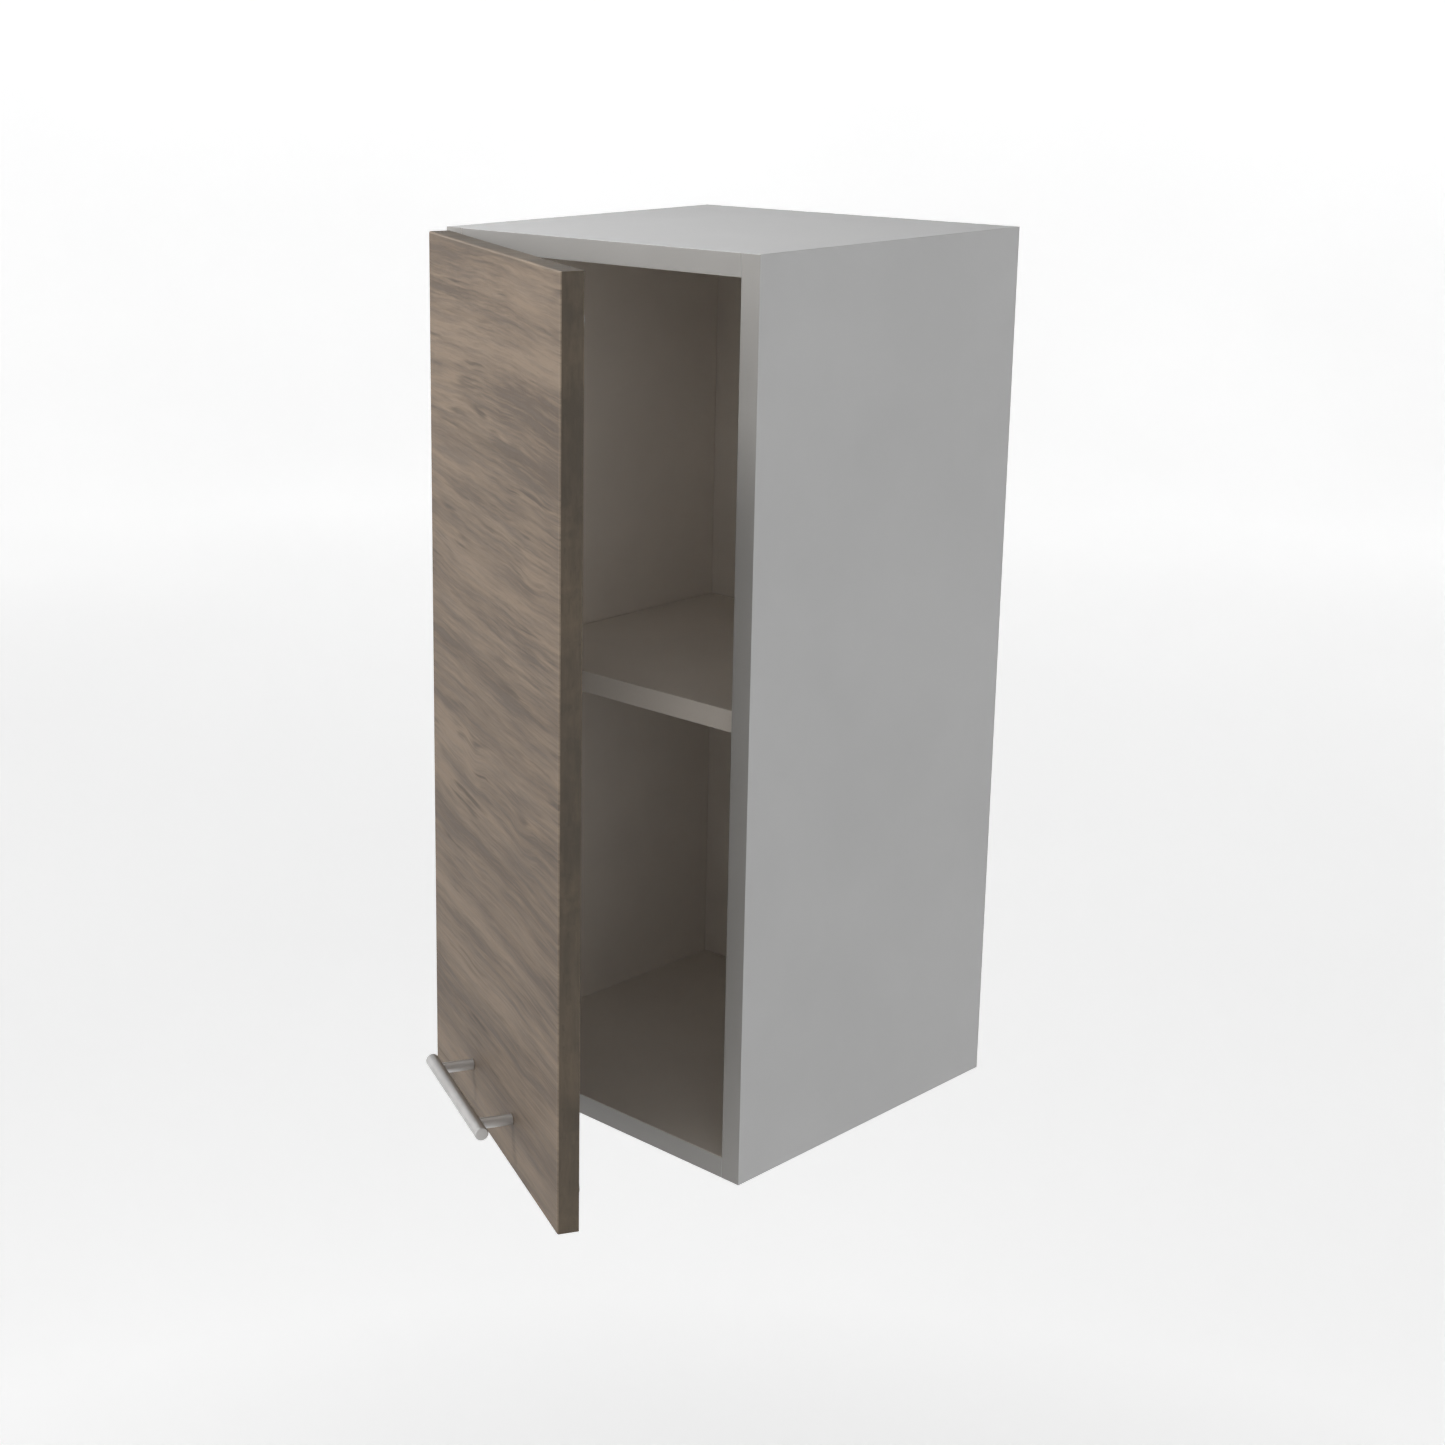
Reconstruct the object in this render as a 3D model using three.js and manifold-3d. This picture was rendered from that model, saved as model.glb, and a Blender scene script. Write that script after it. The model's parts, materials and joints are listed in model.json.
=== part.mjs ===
// Hanging wall cabinet: a narrow melamine carcass with one shelf, and one full-overlay door on
// two concealed cup hinges, shown standing partly open.
//
// Units are millimetres, +Z is up and +Y points at the wall. The origin is the centre of the
// face that lies on the wall. Inside the cabinet group the coordinates are those a joiner uses:
// X from the outer face of the left side, Y from the front edge of the carcass into its depth,
// and Z from half its height.

import * as THREE from 'three';
import { mergeVertices } from 'three/addons/utils/BufferGeometryUtils.js';
import Module from 'manifold-3d';

const wasm = await Module();
wasm.setup();

// ---- driving dimensions -------------------------------------------------------------------

const CARCASS = { width: 300, depth: 284, height: 655 };
const BOARD = 16;
const BUTT_GAP = 0.1; // between boards that meet edge to face
const FIT_GAP = 0.3; // between a fitting and the hole or part that takes it

const BACK = { thickness: 3, rebate: 8, notchWidth: 17.5, notchHeight: 38.5 };
const SHELF = { setback: 30, rearGap: 1, sideGap: 1 };
const SHELF_PIN = { radius: 2.5, depth: 8, supportLength: 7, supportWidth: 8, supportHeight: 5 };
const SHELF_PIN_Y = [62, 240];

const DOWEL = { radius: 4, length: 30, depthInSide: 11, y: [50, 220] };

const DOOR = { width: 297, height: 650, thickness: 16, gap: 2, bevel: 1.2 };
const REST_OPENING = 26; // degrees between the door and the front of the carcass

const HANDLE = { barRadius: 5, barLength: 129, postRadius: 4, postSpacing: 96 };
const HANDLE_PLACE = { standoff: 27.4, heightAboveBottom: 41 };
const HANDLE_SCREW = { headRadius: 4.2, headHeight: 1.6, radius: 2, grip: 11 };

const BUMPER = { radius: 4.5, height: 1.6, inset: 8, fromEnd: 30 };

// The hinge's plan, with Y measured from the carcass front and X from the left outer face.
// Both links are drawn with the door shut, bent so that the opened door's edge and the cup's
// rim pass them.
const HINGE_Z = [225, -225];
const CUP = { x: 22, radius: 17.5, depth: 12, pocketRadius: 16.2, floor: 0.8, flange: 1.2 };
const CUP_RIM_RADIUS = 19;
const CUP_WING = { offset: 9.5, width: 12, height: 58, screwSpacing: 45 };
const CUP_LUG = { inner: 4.3, outer: 5.9, width: 5, rise: 11.5 };
const INNER_LINK = {
  arm: new THREE.Vector2(27, 9),
  bends: [new THREE.Vector2(20.7, -0.5), new THREE.Vector2(12.8, -6.9)],
  cup: new THREE.Vector2(8.9, -3.6),
  armEye: 2.5,
  cupEye: 2.1,
  halfWidth: 4,
  turnPerDegree: 0.28, // anticlockwise, for each degree that the door opens
};
const OUTER_LINK = {
  arm: new THREE.Vector2(28.6, 16.7),
  bends: [
    new THREE.Vector2(23.4, 9.8),
    new THREE.Vector2(22.2, -7.8),
    new THREE.Vector2(18.7, -11.8),
  ],
  cup: new THREE.Vector2(9.4, -9.7),
  armEye: 2.5,
  cupEye: 1,
  cheek: { inner: 6.3, outer: 8.1 },
  turnPerDegree: 0.048,
};
const LINK_THICKNESS = 1.6;
const HINGE_PIN_RADIUS = 1.15;
const HINGE_BORE_RADIUS = 1.4;
const ARM = {
  halfWidth: 10.2,
  wall: 1.6,
  rear: 74,
  foot: 19.4,
  footFront: 22,
  chin: [[23, 8], [24.8, 5]],
  front: 4,
  nose: 33.2,
  noseCorner: 1.5,
  slope: [22, 30], // where the back comes down from the nose to the height
  height: 29,
};
const PLATE = { wing: 2.7, wingHalfHeight: 25, y: 37, wingWidth: 20, screwSpacing: 32 };
const PLATE_BLOCK = { front: 26, rear: 70, top: 27.2, halfWidth: 8.2 };
const ARM_SCREW_Y = [44, 61];
const PLATE_SCREW = { headRadius: 4, headHeight: 2, radius: 1.9, length: 11, boreDepth: 12 };
const ARM_SCREW = { headRadius: 3.3, headHeight: 1.8, radius: 1.8, length: 7.5 };
const CUP_SCREW = { headRadius: 3.6, headHeight: 1.5, radius: 1.6, length: 13 };

const HANGER = { width: 18, height: 31, front: 51, rear: 6, dropFromTop: 1 };
const HOOK = { width: 13.4, thickness: 2.5, reach: 0.6, tip: 1.8, lip: 7, front: 44 };
const HANGER_PLUG = { radius: 4, depth: 10, behindFront: [12, 34] };
const HANGER_SCREW = { headRadius: 3, length: 5.4, recess: 1 };

const ROUND = 24; // sides of a large round
const SMALL_ROUND = 12; // sides of a small round

// ---- finishes -----------------------------------------------------------------------------

function finish(color, roughness, metalness) {
  return new THREE.MeshStandardMaterial({ color, roughness, metalness });
}

const greyMelamine = () => finish(0xa9a9a7, 0.55, 0);
const greyHardboard = () => finish(0x9a9894, 0.7, 0);
const greyOak = () => finish(0x8a7b69, 0.6, 0);
const satinNickel = () => finish(0xb4b3af, 0.35, 1);
const nickelSteel = () => finish(0xc2c2c0, 0.3, 1);
const zincSteel = () => finish(0xa8acae, 0.42, 1);
const beech = () => finish(0xc9a878, 0.75, 0);
const whitePlastic = () => finish(0xe6e6e2, 0.5, 0);
const clearRubber = () => finish(0xd9dad6, 0.4, 0);

// ---- solids -------------------------------------------------------------------------------

function toSolid(geometry) {
  const bare = geometry.index ? geometry.toNonIndexed() : geometry.clone();
  bare.deleteAttribute('normal');
  bare.deleteAttribute('uv');
  const merged = mergeVertices(bare, 1e-4);
  const mesh = new wasm.Mesh({
    numProp: 3,
    vertProperties: merged.attributes.position.array,
    triVerts: new Uint32Array(merged.index.array),
  });
  return new wasm.Manifold(mesh);
}

function toGeometry(solid) {
  const mesh = solid.getMesh();
  const shared = new THREE.BufferGeometry();
  shared.setAttribute('position', new THREE.BufferAttribute(mesh.vertProperties, 3));
  shared.setIndex(new THREE.BufferAttribute(mesh.triVerts, 1));
  const faceted = shared.toNonIndexed();
  faceted.computeVertexNormals();
  return faceted;
}

function cut(geometry, ...tools) {
  const solid = tools.reduce((rest, tool) => rest.subtract(toSolid(tool)), toSolid(geometry));
  return toGeometry(solid);
}

function join(...geometries) {
  const [first, ...others] = geometries.map(toSolid);
  return toGeometry(others.reduce((whole, other) => whole.add(other), first));
}

function overlap(a, b) {
  return toGeometry(toSolid(a).intersect(toSolid(b)));
}

function ordered(a, b) {
  return a < b ? [a, b] : [b, a];
}

// A box between two corners.
function box([x0, y0, z0], [x1, y1, z1]) {
  const geometry = new THREE.BoxGeometry(x1 - x0, y1 - y0, z1 - z0);
  return geometry.translate((x0 + x1) / 2, (y0 + y1) / 2, (z0 + z1) / 2);
}

// A cylinder along one axis from `from` to `to`; `u` and `v` place the axis line, in X, Y, Z
// order without the axis's own coordinate.
function rod(axis, [from, to], [u, v], radius, sides = SMALL_ROUND) {
  const geometry = new THREE.CylinderGeometry(radius, radius, to - from, sides);
  const middle = (from + to) / 2;
  if (axis === 'x') {
    return geometry.rotateZ(Math.PI / 2).translate(middle, u, v);
  }
  if (axis === 'y') {
    return geometry.translate(u, middle, v);
  }
  return geometry.rotateX(Math.PI / 2).translate(u, v, middle);
}

// A plan outline made into a plate that stands from z = low to z = high.
function upright(shape, low, high) {
  const geometry = new THREE.ExtrudeGeometry(shape, {
    depth: high - low,
    bevelEnabled: false,
    curveSegments: SMALL_ROUND / 2,
  });
  return geometry.translate(0, 0, low);
}

function polygon(points) {
  return new THREE.Shape(points.map(([x, y]) => new THREE.Vector2(x, y)));
}

// A closed solid of revolution whose axis is turned to point along `direction`; the profile
// lists [radius, height] pairs from the low end to the high end.
function turned(profile, direction, sides = SMALL_ROUND) {
  const points = profile.map(([radius, height]) => new THREE.Vector2(radius, height));
  const geometry = new THREE.LatheGeometry(points, sides);
  const turn = new THREE.Quaternion().setFromUnitVectors(new THREE.Vector3(0, 1, 0), direction);
  return geometry.applyQuaternion(turn);
}

// A pan-head screw with its head's underside at the local origin and its shank along
// `direction`.
function screw({ headRadius, headHeight, radius, length }, direction) {
  const profile = [
    [0, -headHeight],
    [headRadius * 0.7, -headHeight],
    [headRadius, -headHeight * 0.45],
    [headRadius, 0],
    [radius, 0],
    [radius, length - radius],
    [radius * 0.3, length],
    [0, length],
  ];
  return turned(profile, direction);
}

function piece(name, geometry, material, position = [0, 0, 0]) {
  const mesh = new THREE.Mesh(geometry, material);
  mesh.name = name;
  mesh.position.set(...position);
  return mesh;
}

function group(position, turnDegrees, ...children) {
  const made = new THREE.Group();
  made.position.set(...position);
  made.rotation.z = THREE.MathUtils.degToRad(turnDegrees);
  made.add(...children);
  return made;
}

const ALONG_X = new THREE.Vector3(1, 0, 0);
const AGAINST_X = new THREE.Vector3(-1, 0, 0);
const ALONG_Y = new THREE.Vector3(0, 1, 0);
const AGAINST_Y = new THREE.Vector3(0, -1, 0);

// ---- carcass ------------------------------------------------------------------------------

const TOP = CARCASS.height / 2;
const INSIDE = { left: BOARD, right: CARCASS.width - BOARD, top: TOP - BOARD };
const BACK_FRONT = CARCASS.depth - BACK.thickness;
const REBATE_FRONT = BACK_FRONT - FIT_GAP;
const SHELF_HALF = BOARD / 2;

// Where each fitting is let into a side, as bores that start at the side's inner face.
function sideBores(inner, outward) {
  const bore = (y, z, radius, depth) => {
    return rod('x', ordered(inner - outward, inner + outward * depth), [y, z], radius);
  };
  const bores = [];
  for (const level of [TOP - BOARD / 2, -TOP + BOARD / 2]) {
    for (const y of DOWEL.y) {
      bores.push(bore(y, level, DOWEL.radius + FIT_GAP, DOWEL.depthInSide + FIT_GAP));
    }
  }
  for (const y of SHELF_PIN_Y) {
    bores.push(bore(y, pinLevel(), SHELF_PIN.radius + FIT_GAP, SHELF_PIN.depth + FIT_GAP));
  }
  for (const plug of hangerPlugs()) {
    bores.push(bore(plug.y, plug.z, plug.radius + FIT_GAP, plug.depth + FIT_GAP));
  }
  return bores;
}

function sidePanel(name, outer, inner) {
  const outward = Math.sign(outer - inner);
  const low = Math.min(outer, inner);
  const board = box([low, 0, -TOP], [low + BOARD, CARCASS.depth, TOP]);
  const rebateEnds = ordered(inner - outward, inner + outward * BACK.rebate);
  const backTop = TOP - BOARD + BACK.rebate;
  const rebate = box(
    [rebateEnds[0], REBATE_FRONT, -backTop],
    [rebateEnds[1], CARCASS.depth + 1, backTop],
  );
  const tools = [rebate, ...sideBores(inner, outward)];
  if (outward < 0) {
    tools.push(...plateScrewBores());
  }
  return piece(name, cut(board, ...tools), greyMelamine());
}

function plateScrewBores() {
  const bores = [];
  for (const level of HINGE_Z) {
    for (const up of [-1, 1]) {
      const z = level + (up * PLATE.screwSpacing) / 2;
      const span = [BOARD - PLATE_SCREW.boreDepth, BOARD + 1];
      bores.push(rod('x', span, [PLATE.y, z], PLATE_SCREW.radius + FIT_GAP));
    }
  }
  return bores;
}

function levelPanel(name, facing) {
  const outer = facing * TOP;
  const inner = facing * (TOP - BOARD);
  const low = Math.min(outer, inner);
  const ends = [INSIDE.left + BUTT_GAP, INSIDE.right - BUTT_GAP];
  const board = box([ends[0], 0, low], [ends[1], CARCASS.depth, low + BOARD]);
  const rebateEnds = ordered(inner - facing, inner + facing * BACK.rebate);
  const rebate = box(
    [ends[0] - 1, REBATE_FRONT, rebateEnds[0]],
    [ends[1] + 1, CARCASS.depth + 1, rebateEnds[1]],
  );
  const inPanel = DOWEL.length - DOWEL.depthInSide + 2 * FIT_GAP;
  const tools = [rebate];
  for (const y of DOWEL.y) {
    for (const span of [[ends[0] - 1, ends[0] + inPanel], [ends[1] - inPanel, ends[1] + 1]]) {
      tools.push(rod('x', span, [y, low + BOARD / 2], DOWEL.radius + FIT_GAP));
    }
  }
  return piece(name, cut(board, ...tools), greyMelamine());
}

function dowels() {
  const made = [];
  for (const [levelName, level] of [['top', TOP - BOARD / 2], ['bottom', -TOP + BOARD / 2]]) {
    for (const [sideName, face, outward] of [['left', INSIDE.left, -1], ['right', INSIDE.right, 1]]) {
      DOWEL.y.forEach((y, index) => {
        const reach = face + outward * DOWEL.depthInSide;
        const span = ordered(reach, reach - outward * DOWEL.length);
        const place = index === 0 ? 'front' : 'rear';
        const name = `dowel_${levelName}_${sideName}_${place}`;
        made.push(piece(name, rod('x', span, [y, level], DOWEL.radius), beech()));
      });
    }
  }
  return made;
}

function backPanel() {
  const side = INSIDE.left - BACK.rebate + FIT_GAP;
  const top = TOP - BOARD + BACK.rebate - FIT_GAP;
  const board = box([side, BACK_FRONT, -top], [CARCASS.width - side, CARCASS.depth, top]);
  const notchLow = top - BACK.notchHeight;
  const notches = [
    [side - 1, INSIDE.left + BACK.notchWidth],
    [INSIDE.right - BACK.notchWidth, CARCASS.width - side + 1],
  ].map(([x0, x1]) => box([x0, BACK_FRONT - 1, notchLow], [x1, CARCASS.depth + 1, top + 1]));
  return piece('back_panel', cut(board, ...notches), greyHardboard());
}

function shelf() {
  const board = box(
    [INSIDE.left + SHELF.sideGap, SHELF.setback, -SHELF_HALF],
    [INSIDE.right - SHELF.sideGap, BACK_FRONT - SHELF.rearGap, SHELF_HALF],
  );
  return piece('shelf', board, greyMelamine());
}

// The height of a shelf pin's axis: the top of its support carries the shelf.
function pinLevel() {
  return -SHELF_HALF - FIT_GAP - SHELF_PIN.supportHeight + SHELF_PIN.radius;
}

function shelfPins() {
  const made = [];
  const level = pinLevel();
  for (const [sideName, face, inward] of [['left', INSIDE.left, 1], ['right', INSIDE.right, -1]]) {
    SHELF_PIN_Y.forEach((y, index) => {
      const shank = ordered(face - inward * SHELF_PIN.depth, face + inward * 2);
      const supportStart = face + inward * FIT_GAP;
      const support = ordered(supportStart, supportStart + inward * SHELF_PIN.supportLength);
      const low = level - SHELF_PIN.radius;
      const half = SHELF_PIN.supportWidth / 2;
      const geometry = join(
        rod('x', shank, [y, level], SHELF_PIN.radius),
        box([support[0], y - half, low], [support[1], y + half, low + SHELF_PIN.supportHeight]),
      );
      const place = index === 0 ? 'front' : 'rear';
      made.push(piece(`shelf_pin_${sideName}_${place}`, geometry, nickelSteel()));
    });
  }
  return made;
}

// ---- wall hangers -------------------------------------------------------------------------

function hangerSpan() {
  const top = INSIDE.top - HANGER.dropFromTop;
  return { top, bottom: top - HANGER.height, middle: top - HANGER.height / 2 };
}

// The two round plugs that press a hanger's housing into the side.
function hangerPlugs() {
  const { middle } = hangerSpan();
  const front = CARCASS.depth - HANGER.front;
  return HANGER_PLUG.behindFront.map((back) => ({ ...HANGER_PLUG, y: front + back, z: middle }));
}

function hanger(sideName, face, inward) {
  const { top, bottom, middle } = hangerSpan();
  const front = CARCASS.depth - HANGER.front;
  const rear = CARCASS.depth - HANGER.rear;
  const span = (near, far) => ordered(face + inward * near, face + inward * far);
  const [x0, x1] = span(BUTT_GAP, HANGER.width);
  const centreX = face + (inward * HANGER.width) / 2;

  const plugs = hangerPlugs().map((plug) =>
    rod('x', span(-plug.depth, 1), [plug.y, plug.z], plug.radius),
  );
  const shell = join(box([x0, front, bottom], [x1, rear, top]), ...plugs);
  const slotHalf = HOOK.width / 2 + FIT_GAP;
  const hookFront = CARCASS.depth - HOOK.front;
  const slotLow = middle - FIT_GAP;
  const slot = box(
    [centreX - slotHalf, hookFront - FIT_GAP, slotLow],
    [centreX + slotHalf, rear + 1, slotLow + HOOK.thickness + 2 * FIT_GAP],
  );
  const screwLevel = middle + HOOK.thickness / 2;
  const accessRadius = HANGER_SCREW.headRadius + FIT_GAP;
  const access = rod('y', [front - 1, hookFront], [centreX, screwLevel], accessRadius);
  const housing = piece(`hanger_housing_${sideName}`, cut(shell, slot, access), whitePlastic());

  // A strip that runs back out of the housing and turns down behind the wall rail.
  const strip = polygon([
    [hookFront, middle],
    [CARCASS.depth - HOOK.reach - HOOK.tip, middle],
    [CARCASS.depth - HOOK.reach - HOOK.tip, middle - HOOK.lip],
    [CARCASS.depth - HOOK.reach, middle - HOOK.lip],
    [CARCASS.depth - HOOK.reach, middle + HOOK.thickness],
    [hookFront, middle + HOOK.thickness],
  ]);
  const hookGeometry = upright(strip, -HOOK.width / 2, HOOK.width / 2);
  hookGeometry.applyMatrix4(new THREE.Matrix4().makeBasis(ALONG_Y, new THREE.Vector3(0, 0, 1), ALONG_X));
  const hook = piece(`hanger_hook_${sideName}`, hookGeometry, zincSteel(), [centreX, 0, 0]);

  const screwGeometry = turned(
    [
      [0, 0],
      [HANGER_SCREW.headRadius, 0],
      [HANGER_SCREW.headRadius, HANGER_SCREW.length],
      [0, HANGER_SCREW.length],
    ],
    ALONG_Y,
  );
  const hangerScrew = piece(`hanger_screw_${sideName}`, screwGeometry, zincSteel(), [
    centreX,
    front + HANGER_SCREW.recess,
    screwLevel,
  ]);
  return [housing, hook, hangerScrew];
}

// ---- hinges -------------------------------------------------------------------------------

// The outline of a strip of one thickness that follows a bent line.
function bentStrip(line, thickness) {
  const normals = line.slice(1).map((point, index) => {
    const along = new THREE.Vector2().subVectors(point, line[index]).normalize();
    return new THREE.Vector2(-along.y, along.x);
  });
  const corners = line.map((point, index) => {
    const before = normals[Math.max(index - 1, 0)];
    const after = normals[Math.min(index, normals.length - 1)];
    const share = thickness / 2 / (1 + before.dot(after));
    return before.clone().add(after).multiplyScalar(share);
  });
  const left = line.map((point, index) => point.clone().add(corners[index]));
  const right = line.map((point, index) => point.clone().sub(corners[index]));
  return new THREE.Shape([...right, ...left.reverse()]);
}

// A stamped link: a bent strip with an eye at each end.
function linkPlan({ arm, bends, cup, armEye, cupEye }, halfWidth) {
  const span = [-halfWidth, halfWidth];
  return join(
    upright(bentStrip([arm, ...bends, cup], LINK_THICKNESS), ...span),
    rod('z', span, [arm.x, arm.y], armEye, ROUND),
    rod('z', span, [cup.x, cup.y], cupEye, ROUND),
  );
}

function pinBore(place, halfWidth) {
  return rod('z', [-halfWidth - 1, halfWidth + 1], [place.x, place.y], HINGE_BORE_RADIUS);
}

// Both links are returned with their arm pivot at the local origin, ready to turn about it.
function innerLink(name, z) {
  const { arm, cup, halfWidth } = INNER_LINK;
  const plan = linkPlan(INNER_LINK, halfWidth);
  const geometry = cut(plan, pinBore(arm, halfWidth), pinBore(cup, halfWidth));
  return piece(name, geometry, nickelSteel(), [-arm.x, -arm.y, z]);
}

// The outer link straddles the inner one: it has its full width only about the arm's pin.
function outerLink(name, z) {
  const { arm, bends, armEye, cheek } = OUTER_LINK;
  const reach = 2 * arm.distanceTo(bends[1]);
  const middle = cut(
    box([arm.x - reach, arm.y - reach, -cheek.inner], [arm.x + reach, arm.y + reach, cheek.inner]),
    rod('z', [-cheek.outer, cheek.outer], [arm.x, arm.y], armEye + 1, ROUND),
  );
  const geometry = cut(linkPlan(OUTER_LINK, cheek.outer), middle, pinBore(arm, cheek.outer));
  return piece(name, geometry, nickelSteel(), [-arm.x, -arm.y, z]);
}

function hingePin(name, place, halfLength, z) {
  const geometry = rod('z', [-halfLength, halfLength], [0, 0], HINGE_PIN_RADIUS);
  return piece(name, geometry, zincSteel(), [place.x, place.y, z]);
}

// The arm is a channel, open towards the side panel and to the front.
function hingeArm(name, z) {
  const { halfWidth, wall, rear, foot, footFront, chin, front, nose, noseCorner, slope, height } = ARM;
  const outline = polygon([
    [foot, rear],
    [foot, footFront],
    ...chin,
    [nose - noseCorner, front],
    [nose, front + noseCorner],
    [nose, slope[0]],
    [height, slope[1]],
    [height, rear],
  ]);
  const channel = polygon([
    [foot - wall, rear + wall],
    [foot - wall, front - wall],
    [nose - wall, front - wall],
    [nose - wall, slope[0] - wall / 4],
    [height - wall, slope[1] - wall / 4],
    [height - wall, rear + wall],
  ]);
  const cheekInner = halfWidth - wall;
  const screwHoles = ARM_SCREW_Y.map((y) =>
    rod('x', [height - 5, height + 5], [y, 0], ARM_SCREW.radius + FIT_GAP),
  );
  const geometry = cut(
    upright(outline, -halfWidth, halfWidth),
    upright(channel, -cheekInner, cheekInner),
    pinBore(INNER_LINK.arm, halfWidth),
    pinBore(OUTER_LINK.arm, halfWidth),
    ...screwHoles,
  );
  return piece(name, geometry, nickelSteel(), [0, 0, z]);
}

// The plate is screwed to the side; the arm sits over its block.
function mountingPlate(name, z) {
  const wingTop = BOARD + PLATE.wing;
  const wing = box(
    [BOARD + BUTT_GAP, PLATE.y - PLATE.wingWidth / 2, -PLATE.wingHalfHeight],
    [wingTop, PLATE.y + PLATE.wingWidth / 2, PLATE.wingHalfHeight],
  );
  const { front, rear, top, halfWidth } = PLATE_BLOCK;
  const block = box([BOARD + BUTT_GAP, front, -halfWidth], [top, rear, halfWidth]);
  const holes = [-1, 1].map((up) => {
    const place = [PLATE.y, (up * PLATE.screwSpacing) / 2];
    return rod('x', [BOARD - 1, wingTop + 1], place, PLATE_SCREW.radius + FIT_GAP);
  });
  const threads = ARM_SCREW_Y.map((y) =>
    rod('x', [ARM.height - ARM_SCREW.length - 1, top + 1], [y, 0], ARM_SCREW.radius + FIT_GAP),
  );
  return piece(name, cut(join(wing, block), ...holes, ...threads), nickelSteel(), [0, 0, z]);
}

function hingeOnSide(place, z) {
  const parts = [mountingPlate(`hinge_plate_${place}`, z), hingeArm(`hinge_arm_${place}`, z)];
  for (const [end, up] of [['high', 1], ['low', -1]]) {
    parts.push(
      piece(`hinge_plate_screw_${place}_${end}`, screw(PLATE_SCREW, AGAINST_X), zincSteel(), [
        BOARD + PLATE.wing + BUTT_GAP,
        PLATE.y,
        z + (up * PLATE.screwSpacing) / 2,
      ]),
    );
  }
  ['side_adjuster', 'clamp_screw'].forEach((role, index) => {
    parts.push(
      piece(`hinge_${role}_${place}`, screw(ARM_SCREW, AGAINST_X), zincSteel(), [
        ARM.height + BUTT_GAP,
        ARM_SCREW_Y[index],
        z,
      ]),
    );
  });
  parts.push(hingePin(`hinge_inner_pin_${place}`, INNER_LINK.arm, ARM.halfWidth, z));
  parts.push(hingePin(`hinge_outer_pin_${place}`, OUTER_LINK.arm, ARM.halfWidth, z));
  return parts;
}

// The cup, seen from its mouth: a round pocket with two lugs that hold the link's pin.
function hingeCup(name, z) {
  const face = -DOOR.gap;
  const bottom = face - CUP.depth;
  const pocketFloor = bottom + CUP.floor;
  const mouth = face + CUP.flange;
  const wingX = CUP.x + CUP_WING.offset;
  const body = join(
    rod('y', [bottom, face + 0.5], [CUP.x, 0], CUP.radius, ROUND),
    rod('y', [face + BUTT_GAP, mouth], [CUP.x, 0], CUP_RIM_RADIUS, ROUND),
    box(
      [wingX - CUP_WING.width / 2, face + BUTT_GAP, -CUP_WING.height / 2],
      [wingX + CUP_WING.width / 2, mouth, CUP_WING.height / 2],
    ),
  );
  const pocket = rod('y', [pocketFloor, mouth + 1], [CUP.x, 0], CUP.pocketRadius, ROUND);
  const holes = [-1, 1].map((up) => {
    const place = [wingX, (up * CUP_WING.screwSpacing) / 2];
    return rod('y', [face - 1, mouth + 1], place, CUP_SCREW.radius + FIT_GAP);
  });
  const lugs = [-1, 1].map((up) => {
    const span = ordered(up * CUP_LUG.inner, up * CUP_LUG.outer);
    return box(
      [INNER_LINK.cup.x - CUP_LUG.width / 2, pocketFloor - 0.4, span[0]],
      [INNER_LINK.cup.x + CUP_LUG.width / 2, pocketFloor + CUP_LUG.rise, span[1]],
    );
  });
  const walls = rod('y', [bottom + 0.1, mouth - 0.1], [CUP.x, 0], CUP.radius - 0.1, ROUND);
  const fittedLugs = lugs.map((lug) => overlap(lug, walls));
  const cup = join(cut(body, pocket, ...holes), ...fittedLugs);
  const geometry = cut(cup, pinBore(INNER_LINK.cup, CUP_LUG.outer));
  return piece(name, geometry, nickelSteel(), [0, 0, z]);
}

function hingeOnDoor(place, z) {
  const parts = [
    hingeCup(`hinge_cup_${place}`, z),
    hingePin(`hinge_cup_pin_${place}`, INNER_LINK.cup, CUP_LUG.outer, z),
  ];
  for (const [end, up] of [['high', 1], ['low', -1]]) {
    parts.push(
      piece(`hinge_cup_screw_${place}_${end}`, screw(CUP_SCREW, AGAINST_Y), zincSteel(), [
        CUP.x + CUP_WING.offset,
        -DOOR.gap + CUP.flange + BUTT_GAP,
        z + (up * CUP_WING.screwSpacing) / 2,
      ]),
    );
  }
  return parts;
}

// ---- door ---------------------------------------------------------------------------------

const DOOR_LEFT = (CARCASS.width - DOOR.width) / 2;
const DOOR_BACK = -DOOR.gap;
const DOOR_FRONT = DOOR_BACK - DOOR.thickness;
const HANDLE_Z = -TOP + HANDLE_PLACE.heightAboveBottom;
const BAR_Y = DOOR_FRONT - HANDLE_PLACE.standoff;
const POST_X = [-1, 1].map((side) => CARCASS.width / 2 + (side * HANDLE.postSpacing) / 2);

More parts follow.
